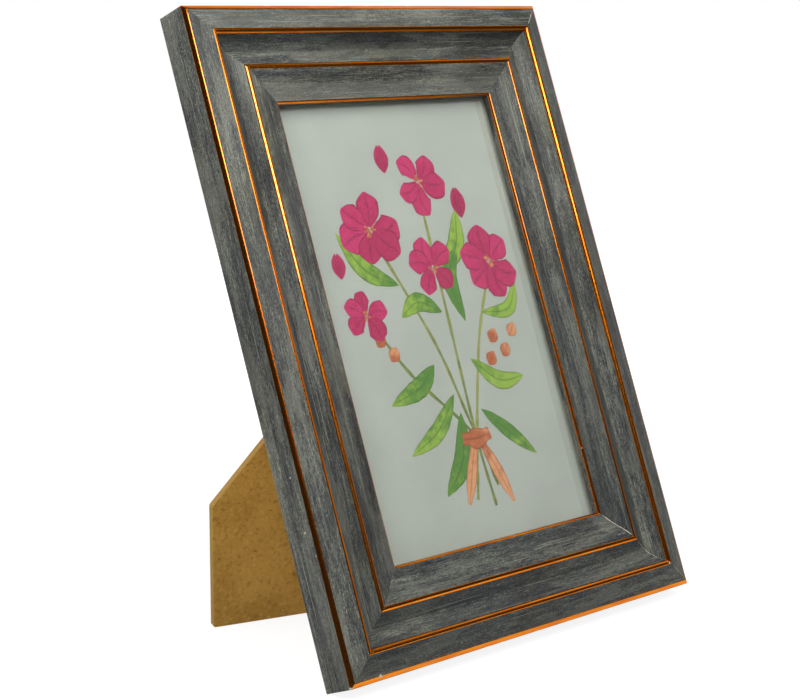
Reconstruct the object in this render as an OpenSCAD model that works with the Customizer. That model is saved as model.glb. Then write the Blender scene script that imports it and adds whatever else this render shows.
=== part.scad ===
// Tabletop picture frame for a 4 x 6 inch print, standing upright on its easel strut.
// The frame leans back about its rear bottom edge. X is the viewer's right, Y goes back, Z is up.

/* [Print and opening] */
// Width of the print and of the glass over it
print_w = 101.6; // [80:0.2:130]
// Height of the print and of the glass over it
print_h = 152.4; // [120:0.2:190]
// Play between the print and the rebate wall, on each side
print_play = 0.8; // [0.4:0.1:1.2]
// How far the lip covers the rebate, on each side
lip_w = 7.1; // [5:0.1:9]

/* [Moulding] */
// Width of the moulding from sight edge to outer edge
moulding_w = 29.7; // [25:0.1:37]
// Thickness of the moulding at its crest
moulding_t = 13.5; // [11:0.1:17]
// Thickness of the copper foil skin on the moulding's fillets
foil_t = 0.2; // [0.15:0.05:0.3]
// Eased edge along the back of the moulding
back_ease = 0.5; // [0.3:0.1:0.8]

/* [Packing behind the glass] */
// Thickness of the glass
glass_t = 2; // [1.6:0.1:2.4]
// Thickness of the printed sheet
sheet_t = 0.3; // [0.2:0.05:0.4]
// Thickness of the packing card
card_t = 0.9; // [0.6:0.1:1.2]
// Thickness of the back board
board_t = 2.5; // [2:0.1:3]
// Play between the back board and the rebate wall
board_play = 0.4; // [0.3:0.1:0.7]

/* [Easel strut] */
// Angle by which the frame leans back on its bottom rail
lean = 21; // [17:0.5:25]
// Angle by which the frame leans back when it stands on its left rail
side_lean = 12.5; // [10.5:0.5:15]
// Opening angle of the strut at its stop
strut_open = 34; // [29:0.5:40]
// Slope of the hinge line, down to the right
hinge_angle = 28; // [24:0.5:33]
// Thickness of the strut board
strut_t = 2.5; // [2:0.1:3]
// Length of the strut's outer edge, which carries the frame on its left rail
side_foot_len = 40.8; // [34:0.1:49]
// Length of the strut's bottom edge, which carries the frame on its bottom rail
foot_len = 46; // [38:0.5:52]
// Hinge centre to the left of the frame's middle
hinge_left = 8; // [6:0.5:10]
// Hinge centre above the frame's middle
hinge_up = 2; // [1:0.5:4]

/* [Hinge] */
// Width of the hinge along its pin
hinge_w = 26; // [22:0.5:31]
// Length of each hinge leaf from the pin
leaf_len = 17; // [14:0.5:20]
// Thickness of the hinge sheet
leaf_t = 0.8; // [0.6:0.1:1]
// Radius of the hinge pin
pin_r = 1; // [0.8:0.05:1.2]
// Radius of the rivet shanks
rivet_r = 1.3; // [1:0.05:1.5]

/* [Turn buttons] */
// Length of a turn button from its screw to its nose
button_len = 12; // [10:0.5:14]
// Radius of a turn button's round end
button_r = 4.2; // [3.5:0.1:5]
// Thickness of a turn button
button_t = 1; // [0.8:0.1:1.2]
// Radius of the screw shanks
screw_r = 1.4; // [1.1:0.05:1.6]
// Length of the screw shanks in the wood
screw_len = 6; // [5:0.5:7]

/* [Hangers] */
// Width of a hanger ring along its straight side
ring_w = 15; // [13:0.5:18]
// Height of a hanger ring
ring_h = 12; // [10:0.5:14]
// Radius of the ring wire
wire_r = 0.6; // [0.5:0.05:0.7]
// Width of the hanger strap
strap_w = 7; // [6:0.5:8]
// Length of the hanger strap below the ring
strap_len = 8.4; // [7:0.2:10]

/* [Corner nails] */
// Length of each leg of a corner nail
nail_leg = 4.6; // [3.8:0.1:5.5]
// Depth of a corner nail in the wood
nail_depth = 6; // [5:0.5:7]
// Thickness of the nail strip
nail_t = 0.5; // [0.4:0.05:0.6]

/* [Hidden] */

// Smoothness of round pieces, and of the arcs in the moulding's section
$fn = 48;
arc_steps = 6;
// Overrun of every cut
over = 1;
// Gap between pieces that move past each other, and radial play of a pin in its bore
free_gap = 0.3;
pin_play = 0.05;

// Opening sizes
rebate_w = print_w + 2 * print_play;
rebate_h = print_h + 2 * print_play;
rebate_d = glass_t + sheet_t + card_t + board_t;
sight_w = rebate_w - 2 * lip_w;
sight_h = rebate_h - 2 * lip_w;
frame_w = sight_w + 2 * moulding_w;
frame_h = sight_h + 2 * moulding_w;

// Face of the moulding from the sight edge outwards: share of the width, share of the
// thickness, and the bow of the run to the next point as a share of that run's length.
// Foil covers the runs from points 0, 3, 6 and 8.
face_shares = [[0, 0.569, 0.10],
               [0.028, 0.633, -0.055],
               [0.199, 0.730, 0.045],
               [0.343, 0.822, 0.14],
               [0.396, 0.806, -0.02],
               [0.535, 0.704, -0.10],
               [0.687, 0.945, 0.17],
               [0.741, 1.000, 0.012],
               [0.952, 0.889, 0.13],
               [1.000, 0.818, 0]];
foil_runs = [0, 3, 6, 8];
face = [for (p = face_shares) [p[0] * moulding_w, p[1] * moulding_t]];
face_runs = [0 : len(face) - 2];

// Points on an arc from a to b that bows out by share bow of the chord, left of a to b
function left_of(a, b) = [a[1] - b[1], b[0] - a[0]] / norm(b - a);
function bow_at(t, chord, rise) =
    let (r = (chord * chord / 4 + rise * rise) / (2 * abs(rise)), x = chord * (t - 1 / 2))
    sign(rise) * (sqrt(r * r - x * x) - r + abs(rise));
function arc_points(a, b, bow, steps = arc_steps) =
    bow == 0 ? [a, b] :
    [for (i = [0 : steps])
        let (t = i / steps)
        a + (b - a) * t + left_of(a, b) * bow_at(t, norm(b - a), bow * norm(b - a))];

// A run of the face, and the same run sunk by the foil's thickness
function run_points(i) = arc_points(face[i], face[i + 1], face_shares[i][2]);
function sunk(i, end) = face[i + end] - left_of(face[i], face[i + 1]) * foil_t;
function is_foil(i) = len(search(i, foil_runs)) > 0;
function bare_run(i) =
    is_foil(i) ? [face[i], sunk(i, 0), sunk(i, 1), face[i + 1]] : run_points(i);
function joined(lists) = [for (l = lists) each l];
function no_repeats(points) =
    [for (i = [0 : len(points) - 1]) if (i == 0 || norm(points[i] - points[i - 1]) > 0) points[i]];

// Section of the bare moulding, and of one foil strip, as distance out and height off the back
rebate_wall = lip_w;
bare_section = no_repeats(concat(
    [[0, rebate_d]],
    joined([for (i = face_runs) bare_run(i)]),
    [[moulding_w, back_ease], [moulding_w - back_ease, 0], [rebate_wall, 0],
     [rebate_wall, rebate_d]]));
function foil_section(i) = concat(run_points(i), [sunk(i, 1), sunk(i, 0)]);

// Corners of an outline rounded by radius r, each with an arc tangent to both sides
function unit(v) = v / norm(v);
function round_corner(p, q, s, r, steps) =
    let (u = unit(p - q), v = unit(s - q),
         half = acos(u * v) / 2,
         c = q + unit(u + v) * r / sin(half),
         a = q + u * r / tan(half) - c,
         b = q + v * r / tan(half) - c,
         turn = atan2(a[0] * b[1] - a[1] * b[0], a * b))
    [for (i = [0 : steps])
        let (t = turn * i / steps)
        c + [a[0] * cos(t) - a[1] * sin(t), a[0] * sin(t) + a[1] * cos(t)]];
function rounded(points, radii, steps = 5) =
    joined([for (i = [0 : len(points) - 1])
        radii[i] == 0 ? [points[i]] :
        round_corner(points[(i + len(points) - 1) % len(points)], points[i],
                     points[(i + 1) % len(points)], radii[i], steps)]);

// The hinge pin lies behind the back face; knuckles roll round it
knuckle_r = pin_r + pin_play + leaf_t;
pin_y = knuckle_r + free_gap;
rivet_head_r = 2 * rivet_r;
rivet_head_t = 0.5;
rivet_dome_t = 0.9;
strut_y = free_gap + rivet_head_t + leaf_t;
face_drop = pin_y - strut_y;
hinge_x = -hinge_left;
hinge_z = frame_h / 2 + hinge_up;
knuckle_w = hinge_w / 4;
strut_top = knuckle_r + free_gap;

// Foot line: points of the closed strut that touch the table when it is open, for the frame
// on its bottom rail. Along the pin it lies at foot_at - foot_slope * distance from the pin.
foot_slope = (cos(strut_open) * cos(hinge_angle) + sin(strut_open) * tan(lean)) / sin(hinge_angle);
foot_at = (hinge_z - (pin_y + back_ease) * tan(lean) + face_drop * cos(strut_open) * tan(lean)
           - face_drop * sin(strut_open) * cos(hinge_angle)) / sin(hinge_angle);
// Side line: the same for the frame on its left rail, at side_at + side_slope * distance
side_slope = (cos(strut_open) * sin(hinge_angle) + sin(strut_open) * tan(side_lean))
             / cos(hinge_angle);
side_at = (-frame_w / 2 - hinge_x + face_drop * sin(strut_open) * sin(hinge_angle)
           + (pin_y + back_ease - face_drop * cos(strut_open)) * tan(side_lean))
          / cos(hinge_angle);
corner_r = (foot_at - side_at) / (foot_slope + side_slope);
corner_s = foot_at - foot_slope * corner_r;
foot_end = [corner_s, -corner_r] + foot_len * unit([foot_slope, 1]);
side_end = [corner_s, -corner_r] + side_foot_len * unit([-side_slope, 1]);
strut_outline = [[corner_s, -corner_r], foot_end,
                 [hinge_w / 2, -strut_top], [-hinge_w / 2, -strut_top], side_end];

// Depth from front to back of the leaning frame, so that the origin is under its middle,
// and the height that the eased edge leaves under the frame's rear bottom corner
front_y = min([for (p = joined([for (i = face_runs) run_points(i)]))
               (moulding_w - p[0]) * sin(lean) - p[1] * cos(lean)]);
back_y = (frame_h - back_ease) * sin(lean);
mid_y = (front_y + back_y) / 2;
drop = back_ease * sin(lean);

// Turn buttons: place of each screw on the back of its rail
button_gap = 0.2;
button_in = 5;
button_x = rebate_w / 2 + button_in;
button_z = rebate_h / 2 + button_in;
button_side_z_share = 0.16;
button_row_x_share = 0.16;
head_r = 2.6;
head_t = 1.3;
dome_share = 0.4;
recess_w = 0.7;
recess_l = 2.8;
recess_d = 0.7;
nose_r = 2.6;

// Hangers: the ring's axis on the back of the top and right rails
strap_t = 0.6;
eye_r = wire_r + pin_play + strap_t;
ring_y = eye_r;
ring_bend = 1.6;
strap_screw_share = 0.56;
strap_screw = strap_len * strap_screw_share;
strap_end_r_share = 0.42;
strap_end_r = strap_w * strap_end_r_share;
ring_in_share = 0.475;
ring_z = frame_h / 2 - ring_in_share * moulding_w;
ring_x = frame_w / 2 - ring_in_share * moulding_w;

// Corner nails: places along the mitre and half the angle between the legs
nail_place_shares = [0.42, 0.77];
nail_half_angle = 50;
nail_play = 0.1;

// Rivet places on each hinge leaf, and the flap's heel as a share of the knuckle's radius
rivet_x_share = 0.27;
rivet_z_share = 0.62;
rivet_x = hinge_w * rivet_x_share;
rivet_z = leaf_len * rivet_z_share;
leaf_corner_r = 4;
heel_share = 2.4;
wall_r = pin_r + pin_play + leaf_t / 2;

// Rounding of the strut's corners, and the bevel round the back board's rear face
foot_corner_r = 0.8;
foot_end_r = 1.5;
strut_top_r = 2;
board_bevel_share = 0.3;

wood = "#6b6f6a";
foil = "#b8763a";
board = "#8f6a2c";
steel = "#b9bcbd";
brassy = "#c2a25a";

// Frames of reference
module leaning() {
    translate([0, -mid_y, -drop])
        rotate([-lean, 0, 0])
            children();
}
module centred() {
    leaning() translate([0, 0, frame_h / 2]) children();
}
module at_hinge() {
    leaning() translate([hinge_x, 0, hinge_z]) rotate([0, hinge_angle, 0]) children();
}
module opened() {
    at_hinge()
        translate([0, pin_y, 0])
            rotate([strut_open, 0, 0])
                translate([0, -pin_y, 0])
                    children();
}
// Lays a flat shape on the back: its Y becomes Z and its thickness goes back from y
module on_back(y, t) {
    translate([0, y + t, 0]) rotate([90, 0, 0]) linear_extrude(height = t) children();
}
// A round piece whose axis goes back, from y over length t
module peg(x, y, z, r, t) {
    translate([x, y, z]) rotate([-90, 0, 0]) cylinder(r = r, h = t);
}

// The domed head of a rivet, its flat side at y
module rivet_dome(x, y, z) {
    sphere_r = (rivet_head_r * rivet_head_r + rivet_dome_t * rivet_dome_t) / (2 * rivet_dome_t);
    translate([x, y, z]) intersection() {
        translate([0, rivet_dome_t - sphere_r, 0]) sphere(r = sphere_r);
        translate([-sphere_r, 0, -sphere_r]) cube([2 * sphere_r, sphere_r, 2 * sphere_r]);
    }
}

// A strip of the given section along the right side, mitred at both ends
module mitred(section, half_w, half_h) {
    wedge = moulding_w + over;
    intersection() {
        linear_extrude(height = 2 * (half_h + moulding_w + over), center = true)
            polygon([for (p = section) [half_w + p[0], -p[1]]]);
        translate([0, over, 0])
            rotate([90, 0, 0])
                linear_extrude(height = moulding_t + 2 * over)
                    polygon([[half_w - over, -half_h + over], [half_w + wedge, -half_h - wedge],
                             [half_w + wedge, half_h + wedge], [half_w - over, half_h - over]]);
    }
}
module side_strip(section) {
    mitred(section, sight_w / 2, sight_h / 2);
}
module row_strip(section) {
    rotate([0, -90, 0]) mitred(section, sight_h / 2, sight_w / 2);
}
module foil_ring(i) {
    color(foil) centred() {
        side_strip(foil_section(i));
        mirror([1, 0, 0]) side_strip(foil_section(i));
        row_strip(foil_section(i));
        mirror([0, 0, 1]) row_strip(foil_section(i));
    }
}

// A corner nail seen from behind: two legs from a point on the mitre
module nail_shape(grow) {
    for (side = [-1, 1])
        rotate(45 + side * nail_half_angle)
            translate([-nail_t / 2 - grow, -nail_t / 2 - grow])
                square([nail_leg + nail_t / 2 + 2 * grow, nail_t + 2 * grow]);
}
module corner_nail_set(grow, extra) {
    for (mx = [0, 1])
        for (mz = [0, 1])
            mirror([mx, 0, 0])
                mirror([0, 0, mz])
                    for (share = nail_place_shares)
                        translate([sight_w / 2 + share * moulding_w, 0,
                                   sight_h / 2 + share * moulding_w])
                            on_back(-nail_depth - grow, nail_depth + grow + extra)
                                nail_shape(grow);
}

// Screw places on the back, as x and z from the frame's middle
button_places = [[button_row_x_share * frame_w, button_z],
                 [button_row_x_share * frame_w, -button_z],
                 [-button_x, button_side_z_share * frame_h],
                 [button_x, button_side_z_share * frame_h]];
hanger_places = [[0, ring_z - strap_screw], [ring_x - strap_screw, 0]];
module pilot_holes() {
    for (p = concat(button_places, hanger_places))
        peg(p[0], -screw_len - free_gap, p[1], screw_r + pin_play, screw_len + over);
}

module rail_cut() {
    difference() {
        children();
        corner_nail_set(nail_play, over);
        pilot_holes();
    }
}
module rail_top() {
    color(wood) centred() rail_cut() row_strip(bare_section);
}
module rail_bottom() {
    color(wood) centred() rail_cut() mirror([0, 0, 1]) row_strip(bare_section);
}
module rail_left() {
    color(wood) centred() rail_cut() mirror([1, 0, 0]) side_strip(bare_section);
}
module rail_right() {
    color(wood) centred() rail_cut() side_strip(bare_section);
}
module foil_sight_edge() {
    foil_ring(foil_runs[0]);
}
module foil_inner_step() {
    foil_ring(foil_runs[1]);
}
module foil_crest() {
    foil_ring(foil_runs[2]);
}
module foil_outer_edge() {
    foil_ring(foil_runs[3]);
}
module corner_nails() {
    color(steel) centred() corner_nail_set(0, 0);
}

// Sheets that lie in the rebate, from the glass to the back board
module sheet(w, h, y, t) {
    translate([-w / 2, y, -h / 2]) cube([w, t, h]);
}
module glass_pane() {
    color("lightcyan", 0.4) centred() sheet(print_w, print_h, -rebate_d, glass_t);
}
module print_sheet() {
    color("#b7bdb1") centred() sheet(print_w, print_h, -rebate_d + glass_t, sheet_t);
}
module packing_card() {
    color("#c9b48a") centred() sheet(print_w, print_h, -board_t - card_t, card_t);
}
module back_board() {
    w = rebate_w - 2 * board_play;
    h = rebate_h - 2 * board_play;
    bevel = board_t * board_bevel_share;
    color(board) difference() {
        centred() union() {
            sheet(w, h, -board_t, board_t - bevel);
            sheet(w - 2 * bevel, h - 2 * bevel, -board_t, board_t);
        }
        at_hinge() for (x = [-rivet_x, rivet_x]) {
            peg(x, -board_t - over, rivet_z, rivet_r + pin_play, board_t + 2 * over);
            peg(x, -board_t - over, rivet_z, rivet_head_r + pin_play, rivet_head_t + over);
        }
    }
}

// A hinge leaf as a flat shape: its free end rounded, its pin end square
module leaf_shape(w, from_pin) {
    polygon(rounded([[-w / 2, from_pin], [w / 2, from_pin], [w / 2, leaf_len], [-w / 2, leaf_len]],
                    [0, 0, leaf_corner_r, leaf_corner_r]));
}
module along_pin(x, r, w) {
    translate([x, pin_y, 0]) rotate([0, 90, 0]) cylinder(r = r, h = w);
}
module hinge_base_leaf() {
    color(steel) at_hinge() difference() {
        union() {
            on_back(0, leaf_t) leaf_shape(hinge_w, strut_top);
            for (x = [-hinge_w / 2, hinge_w / 2 - knuckle_w]) {
                along_pin(x, knuckle_r, knuckle_w);
                translate([x, 0, 0]) cube([knuckle_w, leaf_t, strut_top]);
            }
        }
        along_pin(-hinge_w / 2 - over, pin_r + pin_play, hinge_w + 2 * over);
        for (x = [-rivet_x, rivet_x])
            peg(x, -over, rivet_z, rivet_r + pin_play, leaf_t + 2 * over);
    }
}
module hinge_base_rivets() {
    color(steel) at_hinge() for (x = [-rivet_x, rivet_x]) {
        peg(x, -board_t, rivet_z, rivet_head_r, rivet_head_t - pin_play);
        peg(x, -board_t, rivet_z, rivet_r, board_t + leaf_t + rivet_head_t);
        rivet_dome(x, leaf_t, rivet_z);
    }
}
module hinge_pin() {
    cap_t = leaf_t;
    color(steel) at_hinge() {
        along_pin(-hinge_w / 2 - pin_play, pin_r, hinge_w + 2 * pin_play);
        along_pin(-hinge_w / 2 - pin_play - cap_t, pin_r + leaf_t / 2, cap_t);
        along_pin(hinge_w / 2 + pin_play, pin_r + leaf_t / 2, cap_t);
    }
}

// The flap turns with the strut; its heel meets the base leaf when the strut is fully open
module hinge_flap_leaf() {
    w = hinge_w - 2 * knuckle_w - 2 * free_gap;
    heel_len = heel_share * knuckle_r;
    flap_w = hinge_w - 2 * leaf_t;
    heel_y = leaf_t + free_gap;
    color(steel) opened() difference() {
        union() {
            mirror([0, 0, 1]) on_back(strut_y - leaf_t, leaf_t) leaf_shape(flap_w, strut_top);
            along_pin(-w / 2, knuckle_r, w);
            translate([-w / 2, strut_y - leaf_t, -strut_top - leaf_t])
                cube([w, leaf_t, strut_top + leaf_t - wall_r]);
            translate([0, pin_y, 0])
                rotate([-strut_open, 0, 0])
                    translate([-w / 2, heel_y - pin_y, wall_r])
                        cube([w, leaf_t, heel_len]);
        }
        along_pin(-w / 2 - over, pin_r + pin_play, w + 2 * over);
        for (x = [-rivet_x, rivet_x])
            peg(x, strut_y - leaf_t - over, -rivet_z, rivet_r + pin_play, leaf_t + 2 * over);
    }
}
module hinge_flap_rivets() {
    color(steel) opened() for (x = [-rivet_x, rivet_x]) {
        peg(x, free_gap, -rivet_z, rivet_head_r, rivet_head_t);
        peg(x, free_gap, -rivet_z, rivet_r, rivet_head_t + leaf_t + strut_t + rivet_head_t);
        rivet_dome(x, strut_y + strut_t, -rivet_z);
    }
}
module strut_board() {
    color(board) opened() difference() {
        on_back(strut_y, strut_t)
            polygon(rounded(strut_outline,
                            [foot_corner_r, foot_end_r, strut_top_r, strut_top_r, foot_end_r]));
        for (x = [-rivet_x, rivet_x])
            peg(x, strut_y - over, -rivet_z, rivet_r + pin_play, strut_t + 2 * over);
    }
}

// A turn button lying over the back board, its nose along X: two round ends and their tangents
button_taper = asin((button_r - nose_r) / (button_len - nose_r));
button_steps = 10;
function end_arc(x, r, from, to) =
    [for (i = [0 : button_steps])
        let (a = from + (to - from) * i / button_steps)
        [x + r * cos(a), r * sin(a)]];
module button_plate() {
    polygon(concat(end_arc(0, button_r, 90 - button_taper, 270 + button_taper),
                   end_arc(button_len - nose_r, nose_r, button_taper - 90, 90 - button_taper)));
}
module turn_button(i, direction) {
    p = button_places[i];
    color(steel) centred() translate([p[0], 0, p[1]]) difference() {
        on_back(button_gap, button_t) rotate(direction) button_plate();
        peg(0, button_gap - over, 0, screw_r + pin_play, button_t + 2 * over);
    }
}
module turn_button_top() {
    turn_button(0, -90);
}
module turn_button_bottom() {
    turn_button(1, 90);
}
module turn_button_left() {
    turn_button(2, 0);
}
module turn_button_right() {
    turn_button(3, 180);
}

// Pan-head screw standing on a piece at height y, with a crossed recess
module screw(p, y) {
    dome = head_t * dome_share;
    translate([p[0], 0, p[1]]) difference() {
        union() {
            peg(0, -screw_len, 0, screw_r, screw_len + y + head_t / 2);
            peg(0, y, 0, head_r, head_t - dome);
            translate([0, y + head_t - dome, 0])
                rotate([-90, 0, 0])
                    cylinder(r1 = head_r, r2 = head_r - dome, h = dome);
        }
        for (turn = [0, 90])
            translate([0, y + head_t - recess_d, 0])
                rotate([0, turn, 0])
                    translate([-recess_l / 2, 0, -recess_w / 2])
                        cube([recess_l, recess_d + over, recess_w]);
    }
}
module turn_button_screws() {
    color(steel) centred()
        for (p = button_places) screw(p, 2 * button_gap + button_t);
}
module hanger_screws() {
    color(brassy) centred()
        for (p = hanger_places) screw(p, strap_t);
}

// Strap of a hanger: a plate under its screw, rolled into an eye round the ring's wire.
// It is drawn for the top rail, with the ring's axis at the origin.
module strap() {
    difference() {
        union() {
            mirror([0, 0, 1])
                on_back(0, strap_t)
                    polygon(rounded([[-strap_w / 2, 0], [strap_w / 2, 0],
                                     [strap_w / 2, strap_len], [-strap_w / 2, strap_len]],
                                    [0, 0, strap_end_r, strap_end_r]));
            translate([-strap_w / 2, ring_y, 0]) rotate([0, 90, 0]) cylinder(r = eye_r, h = strap_w);
        }
        translate([-strap_w / 2 - over, ring_y, 0])
            rotate([0, 90, 0])
                cylinder(r = wire_r + pin_play, h = strap_w + 2 * over);
        peg(0, -over, -strap_screw, screw_r + pin_play, strap_t + 2 * over);
    }
}

// D-shaped wire ring in the XZ plane, its straight bar on the X axis and its bow hanging down
module wire_run(l) {
    cylinder(r = wire_r, h = l);
}
module wire_bend(r, turn) {
    rotate([90, 0, 0]) rotate_extrude(angle = turn) translate([r, 0]) circle(r = wire_r);
}
module ring() {
    bow_r = ring_w / 2 - wire_r;
    bar = 2 * (bow_r - ring_bend);
    side = ring_h - 2 * wire_r - ring_bend - bow_r;
    translate([-bar / 2, 0, 0]) rotate([0, 90, 0]) wire_run(bar);
    for (mx = [0, 1])
        mirror([mx, 0, 0]) {
            translate([bar / 2, 0, -ring_bend]) wire_bend(ring_bend, 90);
            translate([bow_r, 0, -ring_bend - side]) wire_run(side);
        }
    translate([0, 0, -ring_bend - side]) mirror([0, 0, 1]) wire_bend(bow_r, 180);
}
module on_top_rail() {
    centred() translate([0, 0, ring_z]) children();
}
module on_right_rail() {
    centred() translate([ring_x, 0, 0]) rotate([0, 90, 0]) children();
}
module portrait_hanger_strap() {
    color(brassy) on_top_rail() strap();
}
module landscape_hanger_strap() {
    color(brassy) on_right_rail() strap();
}
// At rest a ring hangs: straight down on the top rail, straight out on the right rail
module portrait_hanger_ring() {
    color(brassy) on_top_rail() translate([0, ring_y, 0]) rotate([lean, 0, 0]) ring();
}
module landscape_hanger_ring() {
    color(brassy) on_right_rail() translate([0, ring_y, 0]) rotate([90, 0, 0]) ring();
}

rail_top();
rail_bottom();
rail_left();
rail_right();
foil_outer_edge();
foil_crest();
foil_inner_step();
foil_sight_edge();
corner_nails();
glass_pane();
print_sheet();
packing_card();
back_board();
hinge_base_leaf();
hinge_base_rivets();
hinge_pin();
hinge_flap_leaf();
hinge_flap_rivets();
strut_board();
turn_button_top();
turn_button_bottom();
turn_button_left();
turn_button_right();
turn_button_screws();
portrait_hanger_strap();
landscape_hanger_strap();
hanger_screws();
portrait_hanger_ring();
landscape_hanger_ring();
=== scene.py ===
# Tabletop picture frame: grey-washed moulding with copper fillets, glass over a flower print,
# and a fibreboard easel strut behind. Sizes are in millimetres and become metres in a mesh.
import math
import random

import bmesh
import bpy
from mathutils import Matrix, Vector, noise


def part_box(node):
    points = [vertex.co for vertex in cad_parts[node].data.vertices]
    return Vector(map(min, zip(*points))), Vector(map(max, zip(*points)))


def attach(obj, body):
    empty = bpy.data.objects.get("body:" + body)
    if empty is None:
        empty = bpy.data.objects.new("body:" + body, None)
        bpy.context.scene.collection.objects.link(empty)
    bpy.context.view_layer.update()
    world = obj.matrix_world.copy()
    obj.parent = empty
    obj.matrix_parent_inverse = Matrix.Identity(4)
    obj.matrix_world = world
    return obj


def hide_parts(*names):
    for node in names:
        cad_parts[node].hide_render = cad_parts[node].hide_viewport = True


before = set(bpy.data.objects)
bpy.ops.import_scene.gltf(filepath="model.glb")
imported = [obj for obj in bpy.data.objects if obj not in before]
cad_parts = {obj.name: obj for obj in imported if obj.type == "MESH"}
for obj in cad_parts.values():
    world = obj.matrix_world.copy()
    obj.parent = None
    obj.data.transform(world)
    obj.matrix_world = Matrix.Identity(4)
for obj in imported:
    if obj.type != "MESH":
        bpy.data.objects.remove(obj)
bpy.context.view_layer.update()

# Driving sizes of the frame
MM = 0.001
LEAN = math.radians(21)
PRINT_W, PRINT_H, PRINT_PLAY = 101.6, 152.4, 0.8
LIP_W, MOULDING_W, MOULDING_T = 7.1, 29.7, 13.5
BACK_EASE = 0.5
FOIL_T = 0.2
GLASS_T, SHEET_T, CARD_T, BOARD_T = 2.0, 0.3, 0.9, 2.5
REBATE_D = GLASS_T + SHEET_T + CARD_T + BOARD_T
SIGHT_W = PRINT_W + 2 * PRINT_PLAY - 2 * LIP_W
SIGHT_H = PRINT_H + 2 * PRINT_PLAY - 2 * LIP_W
FRAME_H = SIGHT_H + 2 * MOULDING_W

# Face of the moulding from the sight edge outwards: share of the width, share of the thickness
# and the bow of the run to the next point. Foil covers the runs from points 0, 3, 6 and 8.
FACE_SHARES = ((0, 0.569, 0.10),
               (0.028, 0.633, -0.055),
               (0.199, 0.730, 0.045),
               (0.343, 0.822, 0.14),
               (0.396, 0.806, -0.02),
               (0.535, 0.704, -0.10),
               (0.687, 0.945, 0.17),
               (0.741, 1.000, 0.012),
               (0.952, 0.889, 0.13),
               (1.000, 0.818, 0))
FOIL_RUNS = {0: "sight_edge", 3: "inner_step", 6: "crest", 8: "outer_edge"}
FACE = [Vector((w * MOULDING_W, t * MOULDING_T)) for w, t, _ in FACE_SHARES]

# Painted shade (above 0) and painted light (below 0) on a run of a rail's face, for how light
# falls on it, at the bottom or left end of the rail and at its other end
RUN_SHADE_AND_LIGHT = {"left": {4: (1.8, -0.5), 5: (1.0, 1.0), 7: (0.0, -0.35)},
        "right": {1: (2.0, 1.0), 2: (1.6, 0.5), 4: (2.4, 0.6), 5: (0.3, -0.4), 7: (-0.1, 1.8)},
        "top": {1: (-0.9, -0.4), 2: (0.0, 1.0), 4: (0.6, -0.1), 5: (2.4, 0.8), 7: (-0.7, 0.0)},
        "bottom": {1: (0.8, 0.6), 2: (1.2, 0.2), 4: (2.6, 0.6), 5: (1.0, 1.0), 7: (2.2, 0.6)}}

# How finely the moulding is drawn, and how deep its surface is worked
FACE_STEP, SIDE_STEP, BACK_STEP = 0.42, 0.8, 3.0
RAIL_STEP, FOIL_RAIL_STEP = 0.9, 1.6
FOIL_STEPS = 12
RELIEF, FOIL_RELIEF = 0.05, 0.012
MITRE_W, MITRE_DEPTH = 0.22, 0.05
FOIL_MITRE_DEPTH = 0.4 * MITRE_DEPTH
DENTS_PER_RAIL = 16

# The foil stands in from the ends of its run, dips at both edges, and bows most at the outer edge
FOIL_INSET, FOIL_DIP, OUTER_BOW = 0.03, 0.04, 0.16

# The wash thins out near the ends of a run that is longer than a short one, and its edges wear
THIN_REACH, WEAR_REACH, SHORT_RUN = 0.9, 0.7, 2

# Camera of the photograph
CAMERA_PLACE = (-0.419516, -0.423006, 0.188665)
CAMERA_TURN = (80.5626, 0.0097, -43.3839)
CAMERA_LENS = 88.056
CAMERA_SHIFT = (0.00885, -0.01921)


def local_frame():
    """Turns points of the upright frame, measured from its middle on its back plane, into place."""
    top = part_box("rail_top")[1] / MM
    front_edge = FACE[-1].y
    up = top.z - front_edge * math.sin(LEAN) - FRAME_H / 2 * math.cos(LEAN)
    back = top.y - (FRAME_H / 2 - BACK_EASE) * math.sin(LEAN)
    return Matrix.Translation((0, back, up)) @ Matrix.Rotation(-LEAN, 4, "X")


LOCAL = local_frame()


# Shader building

def srgb(red, green, blue):
    """A colour written as 8-bit values, as a shader socket takes it."""
    def linear(value):
        value /= 255
        return value / 12.92 if value <= 0.04045 else ((value + 0.055) / 1.055) ** 2.4
    return (linear(red), linear(green), linear(blue), 1.0)


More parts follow.
